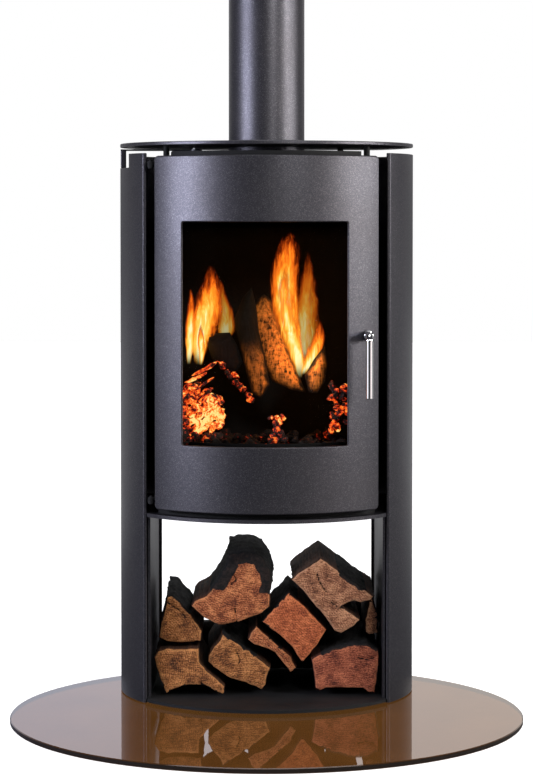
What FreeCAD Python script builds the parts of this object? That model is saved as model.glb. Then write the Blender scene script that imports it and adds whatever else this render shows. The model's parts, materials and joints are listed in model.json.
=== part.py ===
"""Free-standing wood burning stove on a round glass hearth, with an open log store below the fire.

Every piece is drawn in the stove's own frame: X to the right, Y to the back, Z up, with the axis
of the round body at X = Y = 0 and the top of the hearth glass at Z = 0. When a piece is written,
it is moved so that the origin lies under the centre of the hearth glass, on the floor.
All sizes are millimetres.
"""

import FreeCAD
import Part
import math
import os

V = FreeCAD.Vector

# ---- driving dimensions -------------------------------------------------------------------

BODY_R = 290.0            # radius of the round body
BACK_Y = 190.0            # flat back of the body
SHEET = 2.0               # casing sheet
GAP = 0.3                 # running clearance between bodies
TOUCH = 0.5               # clearance between pieces of one body

HEARTH_R = 485.0
HEARTH_T = 10.0
HEARTH_AHEAD = 252.0      # centre of the hearth in front of the body's axis

CASING_Z0 = 2.0
CASING_Z1 = 1063.0
CASING_FRONT_X = 237.5    # front corner of each side casing
CASING_RETURN_X = 231.0   # inner edge of the folded front strip

DECK_T = 6.0
BASE_Z = 4.0              # underside of the base plate
SHELF_Z = 363.0           # underside of the shelf over the log store
SHELF_T = 7.0
DECK_R = BODY_R - SHEET - TOUCH

STORE_FRONT_X = 224.5     # inner faces of the log store walls, front and rear
STORE_REAR_X = 221.5
STORE_MOUTH_X = 216.5     # clear half width at the back of the log store
STORE_FRONT_Y = -160.0
STORE_REAR_Y = 178.0

BOX_X = 209.0             # firebox half width outside
BOX_T = 4.0
BOX_BACK_Y = 150.0
BOX_Z1 = 1058.0
FRAME_R = 262.0           # outer face of the firebox front frame
FRAME_T = 3.0
MOUTH_X = 165.0           # fire opening half width
MOUTH_Z = (412.0, 1020.0)
HOB_Z = 405.0             # firebox floor

BRICK_T = 25.0
BED_Z = 460.0             # underside of the floor bricks
BRICK_Z = (461.0, 920.0)
GRATE_X = 108.0
GRATE_Y = (-88.0, 78.0)

DOOR_X = 214.0
DOOR_Z = (380.5, 1057.0)
SKIN_T = 6.0
WINDOW_X = 156.0          # window half width
WINDOW_SHIFT = -3.0       # the window sits slightly towards the hinges
WINDOW_Z = (507.5, 931.0)
GLASS_R = (278.0, 282.0)
GLASS_LAP = 10.0          # glass behind the skin, all round
DOOR_FRAME_R = 272.0
ROPE_X = (172.0, 182.0)
ROPE_Z = (399.0, 1033.0)

HINGE = (-222.0, -181.0)
HINGE_PIN_R = 3.0
HINGE_BOSS_R = 6.5
HINGE_PLATE = 5.0
HINGE_LEVELS = (392.0, 1036.0)

HANDLE_X = 194.0
HANDLE_Z = 715.5
HANDLE_Y = -262.0         # centre line of the hanging rod
HANDLE_DROP = 119.0
ROD_R = 7.0
ROD_BEND = 10.0
COLLAR_R = 9.5
SPINDLE_R = 5.0
TAIL_R = 3.5              # turned-down end of the spindle, riveted in the tongue
TONGUE_Y = (-190.0, -186.0)

LEVER_X = -140.0          # pivot of the air lever, on Y = 0
LEVER_END_X = -289.0
LEVER_Z = (1071.0, 1074.0)
NOTCH_Y = 112.0           # half length of the lever's notch in the left casing
NOTCH_Z = 1036.0
VALVE_R = 38.0

TOP_Z = (1077.0, 1084.0)
FLUE_R = 75.0
FLUE_T = 2.0
FLUE_Z = (1063.0, 1563.0)
SOCKET_R = 75.4           # socket at the top of the pipe, for the next pipe's plain end
SOCKET_DEPTH = 48.0


# ---- small helpers ------------------------------------------------------------------------

def box(x, y, z):
    """Block between the pairs x, y and z."""
    return Part.makeBox(x[1] - x[0], y[1] - y[0], z[1] - z[0], V(x[0], y[0], z[0]))


def post(radius, z, centre=(0.0, 0.0)):
    """Upright round bar."""
    return Part.makeCylinder(radius, z[1] - z[0], V(centre[0], centre[1], z[0]))


def ring(outer, inner, z, centre=(0.0, 0.0)):
    """Upright tube."""
    return post(outer, z, centre).cut(post(inner, z, centre))


def bar_y(radius, x, z, y):
    """Round bar along Y."""
    return Part.makeCylinder(radius, y[1] - y[0], V(x, y[0], z), V(0, 1, 0))


def slab(points, z):
    """Plate with a polygonal plan, z thick."""
    corners = [V(x, y, z[0]) for x, y in points]
    face = Part.Face(Part.makePolygon(corners + corners[:1]))
    return face.extrude(V(0, 0, z[1] - z[0]))


def beam(points, y):
    """Bar with a polygonal end outline in X and Z, running along Y."""
    corners = [V(x, y[0], z) for x, z in points]
    face = Part.Face(Part.makePolygon(corners + corners[:1]))
    return face.extrude(V(0, y[1] - y[0], 0))


def bar(points, x):
    """Bar with a polygonal end outline in Y and Z, running along X."""
    corners = [V(x[0], y, z) for y, z in points]
    face = Part.Face(Part.makePolygon(corners + corners[:1]))
    return face.extrude(V(x[1] - x[0], 0, 0))


def mirrored(shape):
    """The same piece on the other side of the body."""
    return shape.mirror(V(0, 0, 0), V(1, 0, 0))


def round_window(half, z, corner, shift=0.0):
    """Block through the front of the body with rounded corners seen from the front."""
    block = box((shift - half, shift + half), (-BODY_R - 20, -100), z)
    if corner <= 0:
        return block
    along_y = [e for e in block.Edges if abs(e.Vertexes[0].Y - e.Vertexes[-1].Y) > 1]
    return block.makeFillet(corner, along_y)


def front_plate(r_in, r_out, half, z, corner=0.0, shift=0.0):
    """Plate rolled to the body's curve and trimmed to a half width."""
    return ring(r_out, r_in, z).common(round_window(half, z, corner, shift))


def d_plate(radius, back, z):
    """Round plate with a flat back edge."""
    return post(radius, z).common(box((-radius, radius), (-radius, back), z))


def outer_rim(shape, radius):
    """Edges that lie on the front surface of a rolled plate."""
    def on_surface(edge):
        ends = [v.Point for v in edge.Vertexes]
        middle = edge.valueAt((edge.FirstParameter + edge.LastParameter) / 2)
        return all(abs(math.hypot(p.x, p.y) - radius) < 0.01 for p in ends + [middle])
    return [e for e in shape.Edges if on_surface(e)]


def flat_edges(shape, z):
    """Edges that lie in the plane at height z."""
    return [e for e in shape.Edges if all(abs(v.Z - z) < 0.01 for v in e.Vertexes)]


def upright_edges(shape, places):
    """Vertical edges at the plan positions in places."""
    def at_place(edge):
        ends = [v.Point for v in edge.Vertexes]
        return any(all(math.hypot(p.x - x, p.y - y) < 0.02 for p in ends) for x, y in places)
    return [e for e in shape.Edges if at_place(e)]


def group(shapes):
    """Separate solids kept in one node."""
    return Part.makeCompound(shapes)


# ---- hearth, plinth and casings -----------------------------------------------------------

def hearth_plate():
    centre = V(0, -HEARTH_AHEAD, -HEARTH_T)
    plate = Part.makeCylinder(HEARTH_R, HEARTH_T, centre)
    return plate.makeChamfer(1.5, flat_edges(plate, 0) + flat_edges(plate, -HEARTH_T))


def deck(z):
    """Round-fronted plate that fills the plan of the body between the casings."""
    plate = d_plate(DECK_R, BACK_Y - 3, z)
    for side in (-1, 1):
        edge = side * (CASING_RETURN_X - TOUCH)
        relief = box(sorted((edge, side * BODY_R)), (-BODY_R, -145.5), z)
        plate = plate.cut(relief)
    return plate


FEET = [(-170, -170), (170, -170), (-150, 140), (150, 140)]


def base_plate():
    plate = deck((BASE_Z, BASE_Z + DECK_T))
    for place in FEET:
        plate = plate.cut(post(4.0, (BASE_Z, BASE_Z + DECK_T), place))
    return plate


def levelling_feet():
    feet = []
    for place in FEET:
        pad = post(18.0, (0.0, BASE_Z), place)
        pad = pad.makeFillet(1.0, flat_edges(pad, 0))
        feet.append(pad.fuse(post(4.0, (BASE_Z, BASE_Z + DECK_T), place)))
    return group(feet)


def side_casing():
    """Right-hand casing: rolled sheet with a folded strip in front and a flange behind."""
    z = (CASING_Z0, CASING_Z1)
    front_y = -math.sqrt(BODY_R ** 2 - CASING_FRONT_X ** 2)
    wall = ring(BODY_R, BODY_R - SHEET, z)
    wall = wall.common(box((150, BODY_R), (front_y, BACK_Y), z))
    strip = box((CASING_RETURN_X, CASING_FRONT_X + 1), (front_y, front_y + SHEET), z)
    strip = strip.common(post(BODY_R, z))
    inner = box((CASING_RETURN_X, CASING_RETURN_X + SHEET), (front_y, front_y + 20), z)
    edge_x = math.sqrt((BODY_R - SHEET) ** 2 - (BACK_Y - SHEET) ** 2)
    flange = box((200, edge_x + 1), (BACK_Y - 2 * SHEET, BACK_Y - SHEET), (SHELF_Z + 15, z[1]))
    casing = wall.fuse([strip, inner, flange]).removeSplitter()
    corners = [(CASING_FRONT_X, front_y), (CASING_RETURN_X, front_y)]
    casing = casing.makeFillet(2.4, upright_edges(casing, corners))
    top = [e for e in flat_edges(casing, z[1]) if e.Length > 100]
    return casing.makeChamfer(0.7, top)


def left_casing():
    """The left casing is notched at the top for the air lever."""
    notch = box((-BODY_R - 5, -250), (-NOTCH_Y, NOTCH_Y), (NOTCH_Z, CASING_Z1 + 5))
    return mirrored(side_casing()).cut(notch)


def store_wall():
    """Right-hand wall of the log store, folded at both ends."""
    f, r = STORE_FRONT_X, STORE_REAR_X
    y0, y1 = STORE_FRONT_Y, STORE_REAR_Y
    plan = [(f, y0), (f + 4.5, y0), (f + 4.5, y0 + SHEET), (f + SHEET, y0 + SHEET),
            (r + SHEET, y1), (STORE_MOUTH_X, y1), (STORE_MOUTH_X, y1 - SHEET), (r, y1 - SHEET)]
    return slab(plan, (BASE_Z + DECK_T, SHELF_Z))


def shelf_plate():
    return deck((SHELF_Z, SHELF_Z + SHELF_T))


BACK_SCREWS = [(x, z) for x in (-207, 207) for z in (400, 620, 840, 1045)]


def back_panel():
    z = (SHELF_Z + SHELF_T + 2, CASING_Z1)
    panel = box((-215.9, 215.9), (BACK_Y - SHEET, BACK_Y), z)
    for row in range(6):
        low = 930 + 16 * row
        for x in (-120, 0, 120):
            panel = panel.cut(box((x - 45, x + 45), (BACK_Y - 5, BACK_Y + 5), (low, low + 6)))
    for x, z_screw in BACK_SCREWS:
        panel = panel.cut(bar_y(2.0, x, z_screw, (BACK_Y - 5, BACK_Y + 5)))
    return panel


def back_flange_holes(casing):
    for x, z in BACK_SCREWS:
        casing = casing.cut(bar_y(2.0, x, z, (BACK_Y - 6, BACK_Y + 5)))
    return casing


def back_panel_screws():
    screws = []
    for x, z in BACK_SCREWS:
        head = bar_y(4.0, x, z, (BACK_Y, BACK_Y + 2.2))
        rim = [e for e in head.Edges if e.Vertexes[0].Y > BACK_Y + 2]
        shank = bar_y(2.0, x, z, (BACK_Y - 7, BACK_Y))
        screws.append(head.makeFillet(1.0, rim).fuse(shank))
    return group(screws)


# ---- firebox ------------------------------------------------------------------------------

def firebox_side():
    front_y = -math.sqrt((FRAME_R - FRAME_T) ** 2 - BOX_X ** 2)
    side = (BOX_X - BOX_T, BOX_X)
    return box(side, (front_y + TOUCH, BOX_BACK_Y), (SHELF_Z + SHELF_T, BOX_Z1 - 5))


def firebox_back():
    z = (SHELF_Z + SHELF_T, BOX_Z1 - 5)
    return box((-BOX_X, BOX_X), (BOX_BACK_Y, BOX_BACK_Y + BOX_T), z)


def inside_plate(z, half=BOX_X - BOX_T - 0.3, radius=FRAME_R - FRAME_T - TOUCH, back=149.5):
    """Plate that follows the curve of the front frame between the firebox sides."""
    return post(radius, z).common(box((-half, half), (-radius, back), z))


def firebox_floor():
    return inside_plate((HOB_Z, HOB_Z + 5))


def firebox_top():
    z = (BOX_Z1 - 5, BOX_Z1)
    top = post(FRAME_R, z).common(box((-BOX_X, BOX_X), (-FRAME_R, BOX_BACK_Y + BOX_T), z))
    top = top.cut(post(FLUE_R - 6, z))
    inlet = front_plate(252, 257, 150, (z[0] - 1, z[1] + 1))
    return top.cut(inlet)


def firebox_front_frame():
    z = (SHELF_Z + SHELF_T, BOX_Z1 - 5)
    frame = front_plate(FRAME_R - FRAME_T, FRAME_R, BOX_X, z)
    return frame.cut(round_window(MOUTH_X, MOUTH_Z, 12.0))


def side_firebrick():
    x = (BOX_X - BOX_T - 0.5 - BRICK_T, BOX_X - BOX_T - 0.5)
    brick = box(x, (-150, 122), BRICK_Z)
    return brick.makeChamfer(3.0, [e for e in flat_edges(brick, BRICK_Z[1]) if e.Length > 100])


def rear_firebrick():
    edge = BOX_X - BOX_T - 0.5
    brick = box((-edge, edge), (BOX_BACK_Y - 1 - BRICK_T, BOX_BACK_Y - 1), BRICK_Z)
    return brick.makeChamfer(3.0, [e for e in flat_edges(brick, BRICK_Z[1]) if e.Length > 100])


def floor_support():
    plate = inside_plate((BED_Z - 4, BED_Z))
    return plate.cut(box((-100, 100), (GRATE_Y[0] + 8, GRATE_Y[1] - 8), (BED_Z - 5, BED_Z + 1)))


def floor_firebricks():
    """Four bricks round the grate, inside the side and rear bricks."""
    z = (BED_Z, BED_Z + BRICK_T)
    inner = BOX_X - BOX_T - 1.5 - BRICK_T
    y_back = BOX_BACK_Y - 2 - BRICK_T
    hole_x, (hole_y0, hole_y1) = GRATE_X + 2, (GRATE_Y[0] - 2, GRATE_Y[1] + 2)
    bed = post(254.0, z).common(box((-inner, inner), (-254, y_back), z))
    parts = [((-inner, inner), (-254, hole_y0)), ((-inner, inner), (hole_y1, y_back)),
             ((-inner, -hole_x), (hole_y0 + 1, hole_y1 - 1)),
             ((hole_x, inner), (hole_y0 + 1, hole_y1 - 1))]
    return group([bed.common(box(x, y, z)) for x, y in parts])


def fire_grate():
    """Cast grate with slots between its bars."""
    z = (BED_Z, BED_Z + 14)
    grate = box((-GRATE_X, GRATE_X), GRATE_Y, z)
    for bar in range(9):
        x = -88 + 22 * bar
        slot = box((x - 5, x + 5), (GRATE_Y[0] + 14, GRATE_Y[1] - 14), (z[0] - 1, z[1] + 1))
        grate = grate.cut(slot)
    return grate.makeFillet(1.5, [e for e in flat_edges(grate, z[1]) if e.Length > 160])


def ash_pan():
    x, y, z = (-130, 130), (-200, 90), (HOB_Z + 5.5, 450.0)
    wall = 1.5
    hollow = box((x[0] + wall, x[1] - wall), (y[0] + wall, y[1] - wall), (z[0] + wall, z[1] + 1))
    pan = box(x, y, z).cut(hollow)
    grip = box((-35, 35), (y[0] - 16, y[0]), (z[1] - 10, z[1] - 7))
    front_edges = [e for e in grip.Edges if abs(e.Vertexes[0].X - e.Vertexes[-1].X) < 0.1
                   and abs(e.Vertexes[0].Y - e.Vertexes[-1].Y) < 0.1 and e.Vertexes[0].Y < y[0]]
    return pan.fuse(grip.makeFillet(5.0, front_edges))


BAFFLE_REAR = (148.0, 930.0)
BAFFLE_FRONT = (-120.0, 985.0)


def baffle_profile(x, low, thick):
    """Sloping plate from low at the back to high at the front."""
    (y1, z1), (y0, z0) = BAFFLE_REAR, BAFFLE_FRONT
    corners = [V(x[0], y1, z1 + low), V(x[0], y0, z0 + low),
               V(x[0], y0, z0 + low + thick), V(x[0], y1, z1 + low + thick)]
    face = Part.Face(Part.makePolygon(corners + corners[:1]))
    return face.extrude(V(x[1] - x[0], 0, 0))


def baffle_plate():
    return baffle_profile((-203.0, 203.0), 0.0, BRICK_T)


def baffle_supports():
    rail = baffle_profile((186.0, BOX_X - BOX_T), -5.0, 5.0)
    return group([rail, mirrored(rail)])


def airwash_deflector():
    return front_plate(246, 249, 170, (985.0, BOX_Z1 - 5))


def log_retainer():
    guard = front_plate(238, 242, 150, (BED_Z + BRICK_T, BED_Z + BRICK_T + 25), 6.0)
    for slot in range(7):
        x = -120 + 40 * slot
        guard = guard.cut(box((x - 9, x + 9), (-BODY_R, -150), (494.0, 500.0)))
    return guard


def air_box_plan(inset, z):
    """Plan of the air box: a curved front part and a wing under the lever's valve."""
    front = post(FRAME_R - inset, z)
    front = front.common(box((-181 + inset, 181 - inset), (-BODY_R, -100 - inset), z))
    wing = box((-185 + inset, -97 - inset), (-130, 50 - inset), z)
    return front.fuse(wing).removeSplitter()


def valve_ports(z):
    """Three fan-shaped ports round the lever's pivot."""
    disc = ring(32, 13, z, (LEVER_X, 0))
    ports = []
    for port in range(3):
        wedge = slab([(0, 0), (60, -34.6), (60, 34.6)], z)
        wedge.rotate(V(0, 0, 0), V(0, 0, 1), 120 * port)
        wedge.translate(V(LEVER_X, 0, 0))
        ports.append(disc.common(wedge))
    return group(ports)


def air_chamber():
    z = (BOX_Z1, BOX_Z1 + 8)
    shell = air_box_plan(0, z).cut(air_box_plan(1.5, (z[0] - 1, z[1] - 1.5)))
    shell = shell.cut(valve_ports((z[1] - 3, z[1] + 1)))
    return shell.cut(post(4.0, (z[1] - 3, z[1] + 1), (LEVER_X, 0)))


# ---- top plate and flue -------------------------------------------------------------------

def top_plate():
    plate = d_plate(BODY_R, BACK_Y, TOP_Z)
    plate = plate.makeFillet(1.5, flat_edges(plate, TOP_Z[1]) + flat_edges(plate, TOP_Z[0]))
    return plate.cut(post(FLUE_R + 1.5, (TOP_Z[0] - 1, TOP_Z[1] + 1)))


def top_plate_spacers():
    places = [(-192, -172), (192, -172), (-150, 120), (150, 120)]
    return group([post(6.0, (BOX_Z1, TOP_Z[0]), place) for place in places])


FLANGE_SCREWS = [(84 * math.cos(a), 84 * math.sin(a))
                 for a in (math.radians(45 + 90 * n) for n in range(4))]


def flue_spigot():
    flange = ring(95.0, 69.0, (BOX_Z1, BOX_Z1 + 4))
    for place in FLANGE_SCREWS:
        flange = flange.cut(post(3.0, (BOX_Z1 - 1, BOX_Z1 + 5), place))
    return flange.fuse(ring(FLUE_R - FLUE_T - GAP, 69.0, (BOX_Z1, BOX_Z1 + 62)))


def flue_spigot_screws():
    screws = []
    for place in FLANGE_SCREWS:
        head = post(5.0, (BOX_Z1 + 4, BOX_Z1 + 7), place)
        screws.append(head.fuse(post(3.0, (BOX_Z1, BOX_Z1 + 4), place)))
    return group(screws)


def flue_pipe():
    """Pipe length whose upper end is widened into a socket for the next length."""
    swage = (FLUE_Z[1] - SOCKET_DEPTH - 6, FLUE_Z[1] - SOCKET_DEPTH)
    wide = SOCKET_R + FLUE_T
    slope = swage[1] - swage[0]
    outside = post(FLUE_R, (FLUE_Z[0], swage[0])).fuse(
        [Part.makeCone(FLUE_R, wide, slope, V(0, 0, swage[0])), post(wide, (swage[1], FLUE_Z[1]))])
    inside = post(FLUE_R - FLUE_T, (FLUE_Z[0], swage[0])).fuse(
        [Part.makeCone(FLUE_R - FLUE_T, SOCKET_R, slope, V(0, 0, swage[0])),
         post(SOCKET_R, (swage[1], FLUE_Z[1]))])
    return outside.cut(inside)


def flue_collar():
    """Flared ring that covers the joint of the pipe and the top plate."""
    z = TOP_Z[1]
    cone = Part.makeCone(FLUE_R + 8, FLUE_R + 2.5, 7, V(0, 0, z))
    return cone.cut(post(FLUE_R + 0.2, (z - 1, z + 8)))


# ---- door ---------------------------------------------------------------------------------

def latch_bore():
    return bar_y(COLLAR_R, HANDLE_X, HANDLE_Z, (-BODY_R, -150))


def door_skin():
    skin = front_plate(BODY_R - SKIN_T, BODY_R, DOOR_X, DOOR_Z, 8.0)
    skin = skin.cut(round_window(WINDOW_X, WINDOW_Z, 3.0, WINDOW_SHIFT))
    skin = skin.makeFillet(2.5, outer_rim(skin, BODY_R))
    return skin.cut(latch_bore())


def door_frame():
    """Welded frame behind the skin: a rebate for the glass and a pocket for the latch."""
    z = (DOOR_Z[0] + 5.5, DOOR_Z[1] - 5.5)
    frame = front_plate(DOOR_FRAME_R, BODY_R - SKIN_T, DOOR_X - 6, z, 5.0)
    lap = GLASS_LAP + 2
    opening = (WINDOW_Z[0] - lap, WINDOW_Z[1] + lap)
    frame = frame.cut(round_window(WINDOW_X + lap, opening, 0.0, WINDOW_SHIFT))
    return frame.cut(box((183, DOOR_X + 5), (-BODY_R, -150), (HANDLE_Z - 34, HANDLE_Z + 24)))


def glass_outline():
    half = WINDOW_X + GLASS_LAP
    return half, (WINDOW_Z[0] - GLASS_LAP, WINDOW_Z[1] + GLASS_LAP)


def door_glass():
    half, z = glass_outline()
    return front_plate(GLASS_R[0], GLASS_R[1], half, z, 4.0, WINDOW_SHIFT)


def glass_tape():
    """Flat seal between the glass and the skin."""
    half, z = glass_outline()
    tape = front_plate(GLASS_R[1], BODY_R - SKIN_T, half, z, 4.0, WINDOW_SHIFT)
    return tape.cut(round_window(WINDOW_X + 1, (WINDOW_Z[0] - 1, WINDOW_Z[1] + 1), 3.0,
                                 WINDOW_SHIFT))


def door_rope_seal():
    z0, z1 = ROPE_Z
    rope = front_plate(FRAME_R + GAP, DOOR_FRAME_R, ROPE_X[1], (z0, z1), 14.0)
    return rope.cut(round_window(ROPE_X[0], (z0 + 10, z1 - 10), 4.0))


CLIP_ANGLES = (-24.0, 0.0, 24.0)


def at_angle(shape, degrees):
    """Turn a piece drawn at the middle of the front round the body's axis."""
    turned = shape.copy()
    turned.rotate(V(0, 0, 0), V(0, 0, 1), degrees)
    return turned


def clip_levels():
    """Heights of the edges of the frame opening, and the way towards the glass."""
    lap = GLASS_LAP + 2
    return ((WINDOW_Z[0] - lap, 1), (WINDOW_Z[1] + lap, -1))


def glass_clips():
    """Z-shaped clips, screwed to the frame, that hold the glass against its tape."""
    clips = []
    for edge, way in clip_levels():
        foot = box((-12, 12), (-DOOR_FRAME_R + 0.6, -DOOR_FRAME_R + 3.1),
                   sorted((edge - way * 18, edge + way * 4)))
        web = box((-12, 12), (-GLASS_R[0] + 2.6, -DOOR_FRAME_R + 3.1),
                  sorted((edge + way * 1.5, edge + way * 4)))
        lip = box((-12, 12), (-GLASS_R[0] + 0.6, -GLASS_R[0] + 3.1),
                  sorted((edge + way * 1.5, edge + way * 11)))
        hole = bar_y(2.0, 0, edge - way * 10, (-DOOR_FRAME_R - 5, -DOOR_FRAME_R + 8))
        clip = foot.fuse([web, lip]).removeSplitter().cut(hole)
        clips += [at_angle(clip, angle) for angle in CLIP_ANGLES]
    return group(clips)


def clip_screws():
    screws = []
    for edge, way in clip_levels():
        z = edge - way * 10
        head = bar_y(4.0, 0, z, (-DOOR_FRAME_R + 3.1, -DOOR_FRAME_R + 5.3))
        shank = bar_y(2.0, 0, z, (-DOOR_FRAME_R - 4, -DOOR_FRAME_R + 3.1))
        screws += [at_angle(head.fuse(shank), angle) for angle in CLIP_ANGLES]
    return group(screws)


def drill_clip_holes(frame):
    for edge, way in clip_levels():
        hole = bar_y(2.0, 0, edge - way * 10, (-DOOR_FRAME_R - 4, -DOOR_FRAME_R + 5))
        for angle in CLIP_ANGLES:
            frame = frame.cut(at_angle(hole, angle))
    return frame


def hinge_lugs():
    """Lugs on the door's edge that turn on the hinge pins."""
    x, y = HINGE
    lugs = []
    for level in HINGE_LEVELS:
        z = (level + HINGE_PLATE + GAP, level + 2 * HINGE_PLATE + GAP)
        arm = slab([(-208, -185), (-208, -177), (x, y + 6), (x, y - 4.5)], z)
        lug = post(HINGE_BOSS_R, z, HINGE).fuse(arm).removeSplitter()
        lugs.append(lug.cut(post(HINGE_PIN_R + 0.1, z, HINGE)))
    return group(lugs)


def hinge_brackets():
    """Brackets on the firebox side that carry the pins."""
    x, y = HINGE
    brackets = []
    for level in HINGE_LEVELS:
        z = (level, level + HINGE_PLATE)
        arm = slab([(-209, -120), (-209, -163), (-217, y + 2), (x - 5, y + 3), (-221, -120)], z)
        bracket = post(HINGE_BOSS_R, z, HINGE).fuse(arm).removeSplitter()
        brackets.append(bracket.cut(post(HINGE_PIN_R, z, HINGE)))
    return group(brackets)


def hinge_pins():
    pins = []
    for level in HINGE_LEVELS:
        shank = post(HINGE_PIN_R, (level, level + 2 * HINGE_PLATE + 3), HINGE)
        pins.append(shank.fuse(post(5.0, (level - 3, level), HINGE)))
    return group(pins)


# ---- door handle and latch ----------------------------------------------------------------

def handle_bush():
    bore = bar_y(SPINDLE_R + 0.1, HANDLE_X, HANDLE_Z, (-BODY_R, -150))
    return bar_y(COLLAR_R, HANDLE_X, HANDLE_Z, (-224.2, -201.0)).cut(bore)


def handle_rod():
    """Bent bar: a spindle through the door, a collar, an elbow and the hanging grip."""
    low, bend_z = HANDLE_Z - HANDLE_DROP, HANDLE_Z - ROD_BEND
    grip = post(ROD_R, (low, bend_z), (HANDLE_X, HANDLE_Y))
    grip = grip.makeFillet(1.5, flat_edges(grip, low))
    start = Part.Wire(Part.makeCircle(ROD_R, V(HANDLE_X, HANDLE_Y, bend_z), V(0, 0, 1)))
    elbow = Part.Face(start).revolve(V(HANDLE_X, HANDLE_Y + ROD_BEND, bend_z), V(-1, 0, 0), 90)
    neck = bar_y(ROD_R, HANDLE_X, HANDLE_Z, (HANDLE_Y + ROD_BEND, -240.0))
    collar = bar_y(COLLAR_R, HANDLE_X, HANDLE_Z, (-246.0, -224.5))
    front = [e for e in collar.Edges if e.Vertexes[0].Y < -245.9 and e.Vertexes[-1].Y < -245.9]
    collar = collar.makeFillet(2.0, front)
    spindle = bar_y(SPINDLE_R, HANDLE_X, HANDLE_Z, (-224.5, TONGUE_Y[0]))
    tail = bar_y(TAIL_R, HANDLE_X, HANDLE_Z, TONGUE_Y)
    return grip.fuse([elbow, neck, collar, spindle, tail]).removeSplitter()


def latch_tongue():
    """Flat tongue on the spindle's inner end, pointing down with the grip."""
    hub = bar_y(7.0, HANDLE_X, HANDLE_Z, TONGUE_Y)
    arm = box((HANDLE_X - 3, HANDLE_X + 3), TONGUE_Y, (HANDLE_Z - 13, HANDLE_Z))
    nose = bar_y(3.0, HANDLE_X, HANDLE_Z - 13, TONGUE_Y)
    tail_hole = bar_y(TAIL_R, HANDLE_X, HANDLE_Z, TONGUE_Y)
    return hub.fuse([arm, nose]).removeSplitter().cut(tail_hole)


def spindle_washer():
    return bar_y(8.5, HANDLE_X, HANDLE_Z, (-192.5, -190.5)).cut(
        bar_y(SPINDLE_R, HANDLE_X, HANDLE_Z, (-200, -180)))


def latch_keeper():
    """Hook on the front frame; the tongue turns in behind its lip."""
    z = (HANDLE_Z - 18.5, HANDLE_Z - 8.5)
    root = box((183.8, 186.0), (-194, -178), z).cut(post(FRAME_R, z))
    lip = box((183.8, 189.5), (-194, -191), z)
    return root.fuse(lip).removeSplitter()


# ---- air lever ----------------------------------------------------------------------------

def air_valve_disc():
    z = (BOX_Z1 + 8 + GAP, BOX_Z1 + 10 + GAP)
    disc = post(VALVE_R, z, (LEVER_X, 0)).cut(valve_ports((z[0] - 1, z[1] + 1)))
    return disc.cut(post(4.1, (z[0] - 1, z[1] + 1), (LEVER_X, 0)))


def air_lever_bush():
    z = (BOX_Z1 + 10 + GAP, LEVER_Z[0])
    return ring(9.0, 4.1, z, (LEVER_X, 0))


def air_lever_arm():
    arm = box((LEVER_END_X, LEVER_X), (-8, 8), LEVER_Z).fuse(post(12.0, LEVER_Z, (LEVER_X, 0)))
    tip = box((LEVER_END_X, LEVER_END_X + 10), (-11, 11), LEVER_Z)
    arm = arm.fuse(tip).removeSplitter()
    return arm.cut(post(4.1, (LEVER_Z[0] - 1, LEVER_Z[1] + 1), (LEVER_X, 0)))


def air_lever_knob():
    knob = box((LEVER_END_X, LEVER_END_X + 10), (-11, 11), (NOTCH_Z + 1, LEVER_Z[0]))
    upright = [e for e in knob.Edges if abs(e.Vertexes[0].Z - e.Vertexes[-1].Z) > 5]
    return knob.makeFillet(2.0, upright + flat_edges(knob, NOTCH_Z + 1))


def air_lever_pivot():
    """Shouldered bolt through the valve, with its nut under the air box's skin."""
    shank = post(4.0, (BOX_Z1 + 1, LEVER_Z[1] + GAP), (LEVER_X, 0))
    head = post(8.0, (LEVER_Z[1] + GAP, LEVER_Z[1] + 2), (LEVER_X, 0))
    nut = post(7.5, (BOX_Z1 + 1.5, BOX_Z1 + 6.5), (LEVER_X, 0))
    return shank.fuse([head, nut])


# ---- firewood and fire --------------------------------------------------------------------

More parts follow.
